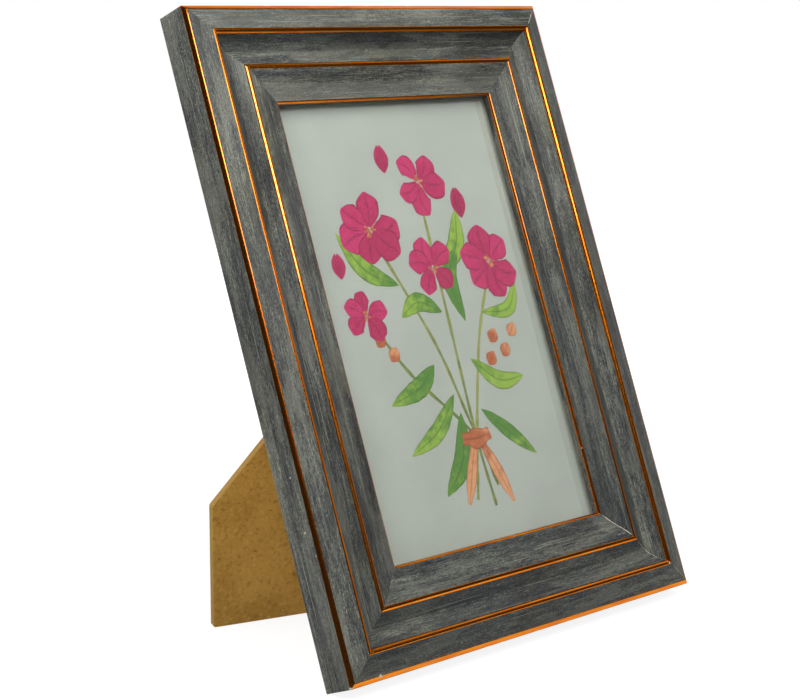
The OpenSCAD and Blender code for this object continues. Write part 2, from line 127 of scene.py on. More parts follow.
class Tree:
    """Short forms for the nodes of one node tree."""

    def __init__(self, tree):
        self.nodes, self.links = tree.nodes, tree.links

    def put(self, socket, value):
        if isinstance(value, bpy.types.NodeSocket):
            self.links.new(value, socket)
        else:
            socket.default_value = value

    def add(self, kind, inputs=None, **settings):
        node = self.nodes.new(kind)
        for name, value in settings.items():
            setattr(node, name, value)
        for socket, value in (inputs or {}).items():
            self.put(node.inputs[socket], value)
        return node

    def fill(self, node, **inputs):
        """Sets or links inputs of a node, their names written with _ for a space."""
        for name, value in inputs.items():
            self.put(node.inputs[name.replace("_", " ")], value)

    def attribute(self, name, output="Fac"):
        return self.add("ShaderNodeAttribute", attribute_name=name).outputs[output]

    def math(self, operation, a, b=0.0, c=0.0, clamp=False):
        inputs = {0: a, 1: b, 2: c}
        return self.add("ShaderNodeMath", inputs, operation=operation, use_clamp=clamp).outputs[0]

    def times(self, a, b, clamp=False):
        return self.math("MULTIPLY", a, b, clamp=clamp)

    def vector(self, operation, a, b=(0, 0, 0), output="Vector"):
        node = self.add("ShaderNodeVectorMath", {0: a, 1: b}, operation=operation)
        return node.outputs[output]

    def scaled(self, vector, factor):
        inputs = {0: vector, "Scale": factor}
        return self.add("ShaderNodeVectorMath", inputs, operation="SCALE").outputs[0]

    def step(self, value, low, high, to_low=0.0, to_high=1.0):
        """A smooth step of value from low to high."""
        inputs = {"Value": value, "From Min": low, "From Max": high,
                  "To Min": to_low, "To Max": to_high}
        return self.add("ShaderNodeMapRange", inputs, interpolation_type="SMOOTHSTEP").outputs[0]

    def noise(self, position, scale, detail=2.0, rough=0.5):
        inputs = {"Vector": position, "Scale": scale, "Detail": detail, "Roughness": rough}
        return self.add("ShaderNodeTexNoise", inputs).outputs["Fac"]

    def mix(self, factor, a, b, blend="MIX"):
        node = self.add("ShaderNodeMix", data_type="RGBA", blend_type=blend)
        for socket, value in zip((0, 6, 7), (factor, a, b)):
            self.put(node.inputs[socket], value)
        return node.outputs[2]

    def ramp(self, value, *stops):
        """A colour that goes through the stops, each a place from 0 to 1 and a colour."""
        node = self.add("ShaderNodeValToRGB", {0: value})
        elements = node.color_ramp.elements
        while len(elements) < len(stops):
            elements.new(0.5)
        for element, (place, colour) in zip(elements, stops):
            element.position, element.color = place, colour
        return node.outputs[0]

    def blend_of(self, *parts):
        """The mean level 0.5, pushed up and down by noises, each with a weight."""
        total = 0.5
        for value, weight in parts:
            total = self.math("MULTIPLY_ADD", self.math("SUBTRACT", value, 0.5), weight, total)
        return total

    def group(self, tree, **inputs):
        node = self.add("ShaderNodeGroup", node_tree=tree)
        self.fill(node, **inputs)
        return node.outputs

    def swap(self, position, order):
        """The position with its parts in another order, such as "ZXY"."""
        parts = self.add("ShaderNodeSeparateXYZ", {0: position}).outputs
        inputs = {i: parts[axis] for i, axis in enumerate(order)}
        return self.add("ShaderNodeCombineXYZ", inputs).outputs[0]


def node_group(name, inputs, outputs):
    """An empty shader group, with its input and output nodes: (group, tree, inputs, output node)."""
    group = bpy.data.node_groups.new(name, "ShaderNodeTree")
    for label, value in inputs.items():
        kind = "NodeSocketVector" if isinstance(value, tuple) else "NodeSocketFloat"
        group.interface.new_socket(label, in_out="INPUT", socket_type=kind).default_value = value
    for label in outputs:
        group.interface.new_socket(label, in_out="OUTPUT", socket_type="NodeSocketFloat")
    tree = Tree(group)
    return group, tree, tree.add("NodeGroupInput").outputs, tree.add("NodeGroupOutput")


def make_streaks():
    """Long soft streaks that run along the first axis: grain, brush marks and rolling marks."""
    inputs = {"Position": (0.0, 0.0, 0.0), "Length": 10.0, "Width": 1.0, "Detail": 3.0}
    group, tree, given, out = node_group("streaks", inputs, ["Fac"])
    along = tree.math("DIVIDE", 1.0, given["Length"])
    across = tree.math("DIVIDE", 1.0, given["Width"])
    scale = tree.add("ShaderNodeCombineXYZ", {0: along, 1: across, 2: across}).outputs[0]
    place = tree.vector("MULTIPLY", given["Position"], scale)
    tree.fill(out, Fac=tree.noise(place, 1.0, given["Detail"], 0.55))
    return group


def make_specks():
    """Round specks, one in some cells of a loose grid: dust, fibres and pin holes."""
    inputs = {"Position": (0.0, 0.0, 0.0), "Spacing": 3.0, "Radius": 0.3, "Share": 0.5}
    group, tree, given, out = node_group("specks", inputs, ["Mask"])
    swirl = tree.add("ShaderNodeTexNoise", {"Vector": given["Position"], "Scale": 2.5})
    place = tree.vector("ADD", given["Position"], tree.scaled(swirl.outputs["Color"], 0.35))
    cells = tree.add("ShaderNodeTexVoronoi", {"Vector": place, "Randomness": 1.0,
                                              "Scale": tree.math("DIVIDE", 1.0, given["Spacing"])})
    far = tree.times(cells.outputs["Distance"], given["Spacing"])
    dot = tree.step(far, given["Radius"], tree.times(given["Radius"], 0.55))
    pick = tree.add("ShaderNodeSeparateXYZ", {0: cells.outputs["Color"]}).outputs[0]
    chosen = tree.math("LESS_THAN", pick, given["Share"])
    tree.fill(out, Mask=tree.times(dot, chosen))
    return group


def make_wear():
    """Rubbed edges: an edge weight broken up by noise."""
    inputs = {"Position": (0.0, 0.0, 0.0), "Edge": 0.0, "Amount": 0.5}
    group, tree, given, out = node_group("edge wear", inputs, ["Mask"])
    patchy = tree.noise(given["Position"], 0.35, 4.0, 0.65)
    level = tree.math("MULTIPLY_ADD", given["Edge"], 0.5, tree.times(patchy, 0.8))
    start = tree.math("SUBTRACT", 1.1, tree.times(given["Amount"], 0.4))
    worn = tree.step(tree.math("SUBTRACT", level, start), 0.0, 0.12)
    tree.fill(out, Mask=tree.times(worn, given["Edge"]))
    return group


STREAKS, SPECKS, WEAR = make_streaks(), make_specks(), make_wear()


def streaks(tree, position, length, width, detail):
    return tree.group(STREAKS, Position=position, Length=length, Width=width, Detail=detail)[0]


def specks(tree, position, spacing, radius, share):
    return tree.group(SPECKS, Position=position, Spacing=spacing, Radius=radius, Share=share)[0]


def new_material(name):
    """A material with a Principled node: (material, tree, principled node, output node)."""
    material = bpy.data.materials.new(name)
    material.use_nodes = True
    tree = Tree(material.node_tree)
    shader = material.node_tree.nodes["Principled BSDF"]
    return material, tree, shader, material.node_tree.nodes["Material Output"]


def plain_position(tree):
    """Place in millimetres, in the object's own axes."""
    return tree.scaled(tree.add("ShaderNodeTexCoord").outputs["Object"], 1 / MM)


def upright_position(tree):
    """Place on the upright frame in millimetres: across, depth and up from its middle."""
    back = LOCAL.inverted()
    turn, shift = tuple(back.to_euler()), tuple(back.to_translation())
    inputs = {"Vector": plain_position(tree), "Rotation": turn, "Location": shift}
    return tree.add("ShaderNodeMapping", inputs).outputs[0]


def bump(tree, shader, height, depth_mm, strength):
    inputs = {"Height": height, "Distance": depth_mm * MM, "Strength": strength}
    tree.fill(shader, Normal=tree.add("ShaderNodeBump", inputs).outputs[0])


# Chips in the finish, as across, depth and up from the frame's middle, and their radius
CHIPS = ((-74.2, -7.8, -38.8, 0.28), (-74.2, -8.4, -54.7, 0.30), (-74.2, -10.6, -61.6, 0.20),
         (-73.6, -11.2, -63.6, 0.20), (-74.0, -11.2, -99.4, 0.55), (-63.1, -12.1, -98.3, 0.55),
         (-44.0, -7.0, -69.6, 0.50), (65.6, -13.3, -91.4, 0.4), (-60.2, -11.5, 72.4, 0.35),
         (-70.0, -12.8, -78.4, 0.16), (-30.8, -12.6, -96.2, 0.14), (-34.0, -12.4, -97.8, 0.10),
         (52.6, -10.3, -50.9, 0.14), (45.0, -8.1, -48.9, 0.22), (-62.4, -11.6, -98.4, 0.30))

# How far noise pushes a chip's edge in, and where the edge lies and fades beyond the radius
CHIP_RAG, CHIP_EDGE, CHIP_FADE = 0.5, 0.3, 0.2


def chip_mask(tree, position):
    """1 inside a chip, with a ragged edge."""
    ragged = tree.times(tree.noise(position, 2.2, 2.0), CHIP_RAG)
    mask = 0.0
    for *place, radius in CHIPS:
        far = tree.math("ADD", tree.vector("DISTANCE", position, place, "Value"), ragged)
        inside = tree.step(far, radius + CHIP_EDGE, radius + CHIP_FADE)
        mask = tree.math("MAXIMUM", mask, inside)
    return mask


def painted_wood(name, order):
    """Grey-washed wood whose grain runs along the first axis of the order."""
    material, tree, shader, _ = new_material(name)
    position = upright_position(tree)
    grain = tree.swap(position, order)
    cloud = streaks(tree, grain, length=42.0, width=4.5, detail=4.0)
    mottle = streaks(tree, grain, length=13.0, width=1.3, detail=4.0)
    fibre = streaks(tree, grain, length=3.4, width=0.30, detail=2.0)
    fleck = streaks(tree, grain, length=0.7, width=0.26, detail=1.0)
    tone = tree.blend_of((cloud, 0.6), (mottle, 0.6), (fibre, 0.8), (fleck, 0.95))
    colour = tree.ramp(tone, (0.10, srgb(33, 35, 40)), (0.32, srgb(57, 59, 63)),
                       (0.50, srgb(80, 81, 78)), (0.68, srgb(106, 109, 99)),
                       (0.90, srgb(148, 151, 137)))
    patch = tree.noise(tree.vector("MULTIPLY", grain, (0.035, 0.16, 0.16)), 1.0, 6.0, 0.62)
    colour = tree.mix(tree.step(patch, 0.535, 0.565, 0.0, 0.28), colour, srgb(130, 132, 121))
    colour = tree.mix(tree.step(patch, 0.44, 0.40, 0.0, 0.30), colour, srgb(42, 44, 48))
    warm = tree.noise(tree.vector("ADD", position, (31, 7, 3)), 0.03, 2.0)
    warmth = tree.step(warm, 0.42, 0.70, 0.0, 0.5)
    colour = tree.mix(warmth, colour, srgb(112, 104, 88), "SOFT_LIGHT")
    scratch = streaks(tree, grain, length=46.0, width=0.30, detail=1.0)
    colour = tree.mix(tree.step(scratch, 0.655, 0.75, 0.0, 0.6), colour, srgb(156, 158, 144))
    worn = tree.group(WEAR, Position=position, Edge=tree.attribute("edge"), Amount=0.75)[0]
    colour = tree.mix(tree.times(worn, 0.5), colour, srgb(142, 142, 126))
    # Painted shade where the run's value is above 0, painted light where it is below 0
    painted_shade_and_light = tree.attribute("painted_shade_and_light")
    darker = tree.times(painted_shade_and_light, 0.24, clamp=True)
    colour = tree.mix(darker, colour, srgb(44, 46, 48))
    paler = tree.times(painted_shade_and_light, -0.3, clamp=True)
    colour = tree.mix(paler, colour, srgb(150, 152, 140))
    dust = specks(tree, position, spacing=9.0, radius=0.22, share=0.3)
    colour = tree.mix(tree.times(dust, 0.7), colour, srgb(186, 184, 168))
    chips = chip_mask(tree, position)
    colour = tree.mix(chips, colour, srgb(212, 206, 184))
    rough = tree.step(tone, 0.3, 0.75, 0.30, 0.42)
    tree.fill(shader, Base_Color=colour, Roughness=rough, Specular_IOR_Level=0.12)
    height = tree.blend_of((fibre, 0.8), (fleck, 1.1), (chips, -0.8))
    bump(tree, shader, height, 0.16, 0.9)
    return material


def raw_wood(name, order):
    """Bare pale wood on the back of the rails and in the rebate, its grain along the rail."""
    material, tree, shader, _ = new_material(name)
    position = upright_position(tree)
    grain = tree.swap(position, order)
    bands = streaks(tree, grain, length=60.0, width=2.2, detail=3.0)
    pores = streaks(tree, grain, length=3.0, width=0.16, detail=2.0)
    colour = tree.mix(tree.step(bands, 0.35, 0.65), srgb(203, 175, 132), srgb(180, 147, 101))
    colour = tree.mix(tree.step(pores, 0.42, 0.28, 0.0, 0.5), colour, srgb(132, 100, 62))
    stain = tree.noise(position, 0.05, 4.0, 0.6)
    colour = tree.mix(tree.step(stain, 0.56, 0.72, 0.0, 0.4), colour, srgb(120, 112, 98))
    tree.fill(shader, Base_Color=colour, Roughness=tree.step(bands, 0.3, 0.7, 0.72, 0.85))
    bump(tree, shader, tree.math("ADD", pores, bands), 0.06, 0.7)
    return material


def copper_leaf(name, order, lacquer):
    """Pressed copper foil with faint rolling marks and a warm tarnish, under clear lacquer."""
    material, tree, shader, _ = new_material(name)
    position = upright_position(tree)
    along = tree.swap(position, order)
    roll = streaks(tree, along, length=7.0, width=0.20, detail=2.0)
    ripple = streaks(tree, along, length=0.8, width=0.5, detail=2.0)
    tarnish = streaks(tree, along, length=14.0, width=1.6, detail=4.0)
    colour = tree.mix(tree.step(tarnish, 0.36, 0.70), srgb(240, 141, 34), srgb(218, 113, 27))
    colour = tree.mix(tree.step(roll, 0.55, 0.75, 0.0, 0.3), colour, srgb(246, 162, 62))
    pits = specks(tree, position, spacing=3.2, radius=0.16, share=0.35)
    colour = tree.mix(tree.times(pits, 0.75), colour, srgb(96, 44, 20))
    chips = chip_mask(tree, position)
    colour = tree.mix(chips, colour, srgb(206, 198, 176))
    metal, rough = tree.math("SUBTRACT", 1.0, chips), tree.step(tarnish, 0.3, 0.75, 0.20, 0.27)
    tree.fill(shader, Base_Color=colour, Metallic=metal, Roughness=rough,
              Specular_Tint=srgb(255, 196, 120), Coat_Weight=lacquer, Coat_Roughness=0.05)
    bump(tree, shader, tree.blend_of((roll, 1.0), (ripple, 0.5), (pits, -1.0)), 0.02, 0.22)
    return material


def filler():
    """Cream filler rubbed into a mitre."""
    material, tree, shader, _ = new_material("mitre_filler")
    position = upright_position(tree)
    grime = tree.noise(position, 1.2, 3.0)
    colour = tree.mix(tree.step(grime, 0.4, 0.65), srgb(222, 216, 194), srgb(164, 156, 134))
    tree.fill(shader, Base_Color=colour, Roughness=tree.step(grime, 0.3, 0.7, 0.7, 0.9))
    return material


def window_glass():
    """Clear pane that lets light through to the print."""
    material, tree, shader, output = new_material("window_glass")
    tree.fill(shader, Base_Color=srgb(252, 253, 252), Roughness=0.0, IOR=1.5, Transmission_Weight=1.0)
    clear = tree.add("ShaderNodeBsdfTransparent", {"Color": srgb(250, 251, 250)})
    rays = tree.add("ShaderNodeLightPath").outputs
    unseen = tree.math("MAXIMUM", rays["Is Shadow Ray"], rays["Is Diffuse Ray"])
    mixed = tree.add("ShaderNodeMixShader", {0: unseen, 1: shader.outputs[0], 2: clear.outputs[0]})
    tree.fill(output, Surface=mixed.outputs[0])
    return material


def art_paper():
    """Pale matt paper with a faint laid texture."""
    material, tree, shader, _ = new_material("art_paper")
    position = upright_position(tree)
    cloud = tree.noise(position, 0.04, 3.0)
    laid, woven = (streaks(tree, tree.swap(position, order), length=5.0, width=0.35, detail=2.0)
                   for order in ("XZY", "ZXY"))
    tooth = tree.math("ADD", laid, woven)
    colour = tree.mix(tree.step(cloud, 0.35, 0.65), srgb(174, 179, 170), srgb(168, 173, 164))
    colour = tree.mix(tree.step(tooth, 1.0, 1.25, 0.0, 0.35), colour, srgb(160, 165, 155))
    spots = specks(tree, position, spacing=22.0, radius=0.3, share=0.35)
    colour = tree.mix(tree.times(spots, 0.45), colour, srgb(120, 112, 92))
    tree.fill(shader, Base_Color=colour, Roughness=0.85, Specular_IOR_Level=0.15)
    bump(tree, shader, tooth, 0.02, 0.6)
    return material


def wash(name, pale, full, deep):
    """Watercolour on paper: pigment gathers at the rim of a stroke and thins inside it."""
    material, tree, shader, _ = new_material(name)
    position = upright_position(tree)
    stroke = tree.add("ShaderNodeSeparateColor", {0: tree.attribute("stroke", "Color")})
    across, along, tint = stroke.outputs
    bloom = tree.noise(position, 0.32, 4.0, 0.6)
    grains = tree.noise(position, 2.4, 2.0)
    side = tree.math("ABSOLUTE", tree.math("MULTIPLY_ADD", across, 2.0, -1.0))
    pool = tree.math("ADD", tree.times(bloom, 0.9), tree.times(tint, 0.5))
    pool = tree.math("ADD", pool, tree.times(along, -0.25))
    colour = tree.mix(tree.step(pool, 0.35, 0.75), pale, full)
    rim = tree.step(side, 0.80, 0.97, 0.0, 0.65)
    colour = tree.mix(rim, colour, deep)
    vein = tree.step(side, 0.16, 0.03, 0.0, 0.45)
    colour = tree.mix(vein, colour, deep)
    colour = tree.mix(tree.step(grains, 0.52, 0.75, 0.0, 0.35), colour, pale)
    rough = tree.step(pool, 0.3, 0.8, 0.85, 0.7)
    tree.fill(shader, Base_Color=colour, Roughness=rough, Specular_IOR_Level=0.15)
    return material


def brown_card():
    """Brown packing card, seen only where something is taken out."""
    material, tree, shader, _ = new_material("packing_card")
    position = upright_position(tree)
    pulp = tree.noise(position, 0.8, 4.0, 0.6)
    colour = tree.mix(tree.step(pulp, 0.35, 0.65), srgb(183, 160, 122), srgb(160, 135, 96))
    tree.fill(shader, Base_Color=colour, Roughness=tree.step(pulp, 0.3, 0.7, 0.82, 0.92))
    bump(tree, shader, pulp, 0.03, 0.5)
    return material


def rear_direction(name):
    """Normal of a flat board's rear face, in the board's own axes."""
    normal = max(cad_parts[name].data.polygons, key=lambda face: face.area).normal
    return tuple(normal if normal.y > 0 else -normal)


def fibreboard(name, light, dark, rear, rear_tone):
    """Golden brown fibreboard with dark specks, pale loose fibres, and darker cut edges and rear.
    Where rear_tone is dark, the front stays paler than the rear as painted light.
    """
    material, tree, shader, _ = new_material(name)
    position = plain_position(tree)
    cloud = tree.noise(position, 0.045, 3.0, 0.55)
    pulp = tree.noise(position, 0.75, 5.0, 0.7)
    colour = tree.mix(tree.step(cloud, 0.35, 0.65), light, dark)
    colour = tree.mix(tree.step(pulp, 0.53, 0.68, 0.0, 0.6), colour, srgb(240, 200, 118))
    colour = tree.mix(tree.step(pulp, 0.47, 0.32, 0.0, 0.65), colour, srgb(136, 98, 36))
    grit = specks(tree, position, spacing=2.6, radius=0.26, share=0.45)
    colour = tree.mix(tree.times(grit, 0.6), colour, srgb(108, 78, 32))
    fibres = streaks(tree, position, length=2.2, width=0.18, detail=1.0)
    colour = tree.mix(tree.step(fibres, 0.66, 0.78, 0.0, 0.35), colour, srgb(200, 164, 100))
    normal = tree.add("ShaderNodeTexCoord").outputs["Normal"]
    turned = tree.vector("DOT_PRODUCT", normal, rear, "Value")
    cut = tree.step(tree.math("ABSOLUTE", turned), 0.75, 0.45, 0.0, 0.8)
    colour = tree.mix(cut, colour, srgb(152, 122, 64))
    # Painted light: a dark rear_tone leaves the front face paler than the rear, standing in for light
    # on a front that lies in shade; the darker rear is also the smooth side's own tone
    colour = tree.mix(tree.step(turned, 0.45, 0.75), colour, rear_tone, "MULTIPLY")
    tree.fill(shader, Base_Color=colour, Roughness=tree.step(pulp, 0.3, 0.7, 0.62, 0.8))
    bump(tree, shader, tree.math("ADD", pulp, fibres), 0.07, 0.7)
    return material


def plated_metal(name, bright, dull, tarnished, smoothest):
    """Plated sheet metal with rolling marks, fine scratches and dull patches."""
    material, tree, shader, _ = new_material(name)
    position = plain_position(tree)
    patches = tree.noise(position, 0.22, 4.0, 0.65)
    marks = streaks(tree, tree.swap(position, "ZXY"), length=7.0, width=0.12, detail=2.0)
    colour = tree.mix(tree.step(patches, 0.38, 0.66), bright, dull)
    colour = tree.mix(tree.step(patches, 0.62, 0.76, 0.0, 0.6), colour, tarnished)
    pits = specks(tree, position, spacing=2.4, radius=0.13, share=0.25)
    colour = tree.mix(tree.times(pits, 0.6), colour, tarnished)
    rough = tree.step(patches, 0.3, 0.75, smoothest, smoothest + 0.18)
    tree.fill(shader, Base_Color=colour, Metallic=1.0, Roughness=rough)
    bump(tree, shader, marks, 0.012, 0.6)
    return material


# Finishes of the upright and level rails, with the grain or the rolling marks along the rail
UPRIGHT, LEVEL = "ZXY", "XZY"
UPRIGHT_PAINT = painted_wood("moulding_upright", UPRIGHT)
LEVEL_PAINT = painted_wood("moulding_level", LEVEL)
UPRIGHT_COPPER = copper_leaf("copper_upright", UPRIGHT, 0.95)
LEVEL_COPPER = copper_leaf("copper_level", LEVEL, 0.25)
CREST_COPPER = copper_leaf("copper_crest", UPRIGHT, 0.35)
UPRIGHT_BARE = raw_wood("bare_wood_upright", UPRIGHT)
LEVEL_BARE = raw_wood("bare_wood_level", LEVEL)
FILLER = filler()


# Mesh building

def new_object(name, data):
    thing = bpy.data.objects.new(name, data)
    bpy.context.scene.collection.objects.link(thing)
    return thing


def new_piece(name, points, faces, materials):
    """A mesh piece of the fixed frame, from upright points in millimetres."""
    mesh = bpy.data.meshes.new(name)
    mesh.from_pydata([(LOCAL @ Vector(p)) * MM for p in points], [], faces)
    for material in materials:
        mesh.materials.append(material)
    piece = new_object(name, mesh)
    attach(piece, "frame")
    return piece


def smooth_faces(piece, sharp_degrees):
    mesh = piece.data
    mesh.polygons.foreach_set("use_smooth", [True] * len(mesh.polygons))
    mesh.set_sharp_from_angle(angle=math.radians(sharp_degrees))


def set_point_values(mesh, name, values):
    mesh.attributes.new(name, "FLOAT", "POINT").data.foreach_set("value", values)


def left_of(a, b):
    along = (b - a).normalized()
    return Vector((-along.y, along.x))


def arc(a, b, bow, steps):
    """Points from a to b, bowed out to the left by a share of the chord."""
    if bow == 0:
        return [a.lerp(b, i / steps) for i in range(steps + 1)]
    chord = (b - a).length
    rise = abs(bow) * chord
    radius = (chord * chord / 4 + rise * rise) / (2 * rise)
    points = []
    for i in range(steps + 1):
        share = i / steps
        x = chord * (share - 0.5)
        out = math.copysign(math.sqrt(radius * radius - x * x) - radius + rise, bow)
        points.append(a.lerp(b, share) + left_of(a, b) * out)
    return points


def run_points(i, steps=None):
    a, b = FACE[i], FACE[i + 1]
    return arc(a, b, FACE_SHARES[i][2], steps or max(2, round((b - a).length / FACE_STEP)))


def sunk(i, end):
    return FACE[i + end] - left_of(FACE[i], FACE[i + 1]) * FOIL_T


def line(a, b, step):
    return arc(Vector(a), Vector(b), 0, max(1, round((Vector(b) - Vector(a)).length / step)))


def rail_section():
    """Outline of a bare rail: (point, paint weight, edge weight, material of the run that follows,
    number of the run if it is on the washed face)."""
    painted, bare = 0, 1
    outline = []

    def add(points, paint, edges, material, run=None):
        length = (points[-1] - points[0]).length
        for p in points[:-1]:
            from_end = min((p - points[0]).length, (p - points[-1]).length)
            soft = min(1.0, from_end / THIN_REACH) if length > SHORT_RUN else 0.3
            near = max(0.0, 1 - from_end / WEAR_REACH) if edges else 0.0
            outline.append((p, paint * (0.25 + 0.75 * soft), near, material, run))

    add(line((0, REBATE_D), FACE[0], FACE_STEP), 0.6, True, painted)
    for i in range(len(FACE) - 1):
        if i in FOIL_RUNS:
            add([FACE[i], sunk(i, 0), sunk(i, 1), FACE[i + 1]], 0.0, False, painted)
        else:
            add(run_points(i), 1.0, True, painted, i)
    add(line(FACE[-1], (MOULDING_W, BACK_EASE), SIDE_STEP), 1.0, True, painted)
    add(line((MOULDING_W, BACK_EASE), (MOULDING_W - BACK_EASE, 0), BACK_EASE), 0.5, True, painted)
    add(line((MOULDING_W - BACK_EASE, 0), (LIP_W, 0), BACK_STEP), 0.0, False, bare)
    add(line((LIP_W, 0), (LIP_W, REBATE_D), BACK_STEP), 0.0, False, bare)
    add(line((LIP_W, REBATE_D), (0, REBATE_D), BACK_STEP), 0.0, False, bare)
    return outline


def rail_stations(half, step):
    """Places along a rail from -1 to 1, with a narrow step at each mitre."""
    count = round(2 * half / step)
    even = [-1 + 2 * i / count for i in range(1, count)]
    near = MITRE_W / half
    return [-1.0, -1 + near, *even, 1 - near, 1.0]


SIDES = {"top": ("row", 1), "bottom": ("row", -1), "left": ("side", -1), "right": ("side", 1)}


def on_side(side, along, out, height):
    """A point of the upright frame from its place along a rail, out from the sight edge and up."""
    kind, sign = SIDES[side]
    if kind == "row":
        return Vector((along * (SIGHT_W / 2 + out), -height, sign * (SIGHT_H / 2 + out)))
    return Vector((sign * (SIGHT_W / 2 + out), -height, along * (SIGHT_H / 2 + out)))


def half_length(side):
    return SIGHT_W / 2 if SIDES[side][0] == "row" else SIGHT_H / 2


def outward_normals(points):
    """Normals of a closed outline that is drawn clockwise."""
    count = len(points)
    return [left_of(points[i - 1], points[(i + 1) % count]) for i in range(count)]


def dents_for(side, dice):
    """Small knocks along a rail's ridges: place along, distance out, radius and depth."""
    ridges = (FACE[3].x - 0.4, FACE[7].x + 0.3, MOULDING_W, MOULDING_W, FACE[7].x + 3)
    return [(dice.uniform(-0.97, 0.97) * half_length(side), dice.choice(ridges),
             dice.uniform(0.7, 1.6), dice.uniform(0.04, 0.14)) for _ in range(DENTS_PER_RAIL)]


def dent_depth(dents, along, out):
    depth = 0.0
    for at, ridge, radius, deep in dents:
        far = math.hypot(along - at, out - ridge)
        if far < radius:
            depth += deep * (1 - (far / radius) ** 2) ** 2
    return depth


def skin(rings, section_count):
    """Quads between rings of points, and a face over each end."""
    faces = []
    for k in range(rings - 1):
        for j in range(section_count):
            nxt = (j + 1) % section_count
            base, up = k * section_count, (k + 1) * section_count
            faces.append((base + j, up + j, up + nxt, base + nxt))
    faces.append(tuple(range(section_count)))
    faces.append(tuple(reversed(range((rings - 1) * section_count, rings * section_count))))
    return faces


def turn_out(piece):
    """Makes every face look outwards."""
    bm = bmesh.new()
    bm.from_mesh(piece.data)
    bmesh.ops.recalc_face_normals(bm, faces=bm.faces)
    bm.to_mesh(piece.data)
    bm.free()


def make_rail(side, dice):
    """One mitred rail, its washed face worked with shallow grain and a few knocks."""
    section = rail_section()
    normals = outward_normals([s[0] for s in section])
    half = half_length(side)
    stations = rail_stations(half + MOULDING_W / 2, RAIL_STEP)
    dents = dents_for(side, dice)
    seed = Vector([dice.uniform(-50, 50) for _ in range(3)])
    points, edges, painted_shade_and_light = [], [], []
    for k, station in enumerate(stations):
        groove = MITRE_DEPTH if k in (0, len(stations) - 1) else 0.0
        near_end = max(0.0, 1 - (1 - abs(station)) * half / 0.6)
        for (p, paint, edge, _, run), normal in zip(section, normals):
            along = station * (half + p.x)
            coarse = noise.noise(Vector((along * 0.05, p.x * 0.6, p.y * 0.6)) + seed)
            fine = noise.noise(Vector((along * 0.22, p.x * 2.1, p.y * 2.1)) + seed)
            depth = paint * RELIEF * (0.5 + 0.3 * coarse + 0.35 * fine)
            depth += max(paint, 0.4 * edge) * dent_depth(dents, along, p.x) if paint > 0 else 0.0
            moved = p - normal * (max(0.0, depth) + groove * (paint > 0))
            points.append(on_side(side, station, moved.x, moved.y))
            edges.append(max(edge, 0.6 * near_end if paint > 0 else 0.0))
            # Painted shade and light on this run, going from one end of the rail to the other
            first, last = RUN_SHADE_AND_LIGHT[side].get(run, (0.0, 0.0))
            painted_shade_and_light.append(first + (last - first) * (station + 1) / 2)
    count = len(section)
    level = SIDES[side][0] == "row"
    finishes = [LEVEL_PAINT, LEVEL_BARE] if level else [UPRIGHT_PAINT, UPRIGHT_BARE]
    faces = skin(len(stations), count)
    rail = new_piece(f"moulding_{side}", points, faces, finishes)
    kinds = [s[3] for s in section] * (len(stations) - 1) + [1, 1]
    rail.data.polygons.foreach_set("material_index", kinds)
    set_point_values(rail.data, "edge", edges)
    set_point_values(rail.data, "painted_shade_and_light", painted_shade_and_light)
    turn_out(rail)
    smooth_faces(rail, 34)
    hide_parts(f"rail_{side}")


def early_peak(share):
    """Rises fast from 0 near the inner edge and falls slowly back to 0."""
    return share ** 0.7 * (1 - share) ** 1.4 * 2.17


def foil_section(run):
    """Outline of a foil strip: its bowed face and its flat underside."""
    a, b = FACE[run], FACE[run + 1]
    along = (b - a).normalized() * FOIL_INSET
    bowed = run_points(run, FOIL_STEPS)
    if FOIL_RUNS[run] == "outer_edge":
        shares = [i / FOIL_STEPS for i in range(FOIL_STEPS + 1)]
        bowed = [a.lerp(b, s) + left_of(a, b) * OUTER_BOW * early_peak(s) for s in shares]
    face = [p + along * (1 - 2 * i / FOIL_STEPS) for i, p in enumerate(bowed)]
    under = [sunk(run, 1) - along, sunk(run, 0) + along]
    low = left_of(a, b) * FOIL_DIP
    return [face[0] - low, *face[1:-1], face[-1] - low, *under]


def make_foil(run, dice):
    """One copper fillet all round the frame, in four mitred strips."""
    section = foil_section(run)
    normals = outward_normals(section)
    seed = Vector([dice.uniform(-50, 50) for _ in range(3)])
    points, faces, kinds = [], [], []
    for side in SIDES:
        half = half_length(side)
        stations = rail_stations(half + MOULDING_W / 2, FOIL_RAIL_STEP)
        start = len(points)
        for k, station in enumerate(stations):
            groove = FOIL_MITRE_DEPTH if k in (0, len(stations) - 1) else 0.0
            for j, (p, normal) in enumerate(zip(section, normals)):
                on_face = j < len(section) - 2
                wave = noise.noise(Vector((station * half * 0.09, j * 0.25, run)) + seed)
                depth = FOIL_RELIEF * (0.5 + 0.5 * wave) + groove if on_face else 0.0
                moved = p - normal * depth
                points.append(on_side(side, station, moved.x, moved.y))
        strip = skin(len(stations), len(section))
        faces += [tuple(start + i for i in f) for f in strip]
        kinds += [0 if SIDES[side][0] == "side" else 1] * len(strip)
    upright = CREST_COPPER if FOIL_RUNS[run] == "crest" else UPRIGHT_COPPER
    finishes = [upright, LEVEL_COPPER]
    foil = new_piece(f"copper_fillet_{FOIL_RUNS[run]}", points, faces, finishes)
    foil.data.polygons.foreach_set("material_index", kinds)
    turn_out(foil)
    smooth_faces(foil, 50)
    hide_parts(f"foil_{FOIL_RUNS[run]}")


# Where filler shows in a mitre: corner, runs of the face that it follows, width
FILLED = ((1, -1, (1, 2), 1.1), (1, -1, (4, 5), 0.09), (1, -1, (7,), 0.10),
          (1, 1, (7,), 0.14), (-1, -1, (0,), 0.34))
# How far under the face the filler's middle and sides lie, and its underside
FILLER_TOP, FILLER_SIDE, FILLER_UNDER = 0.004, 0.02, 0.2


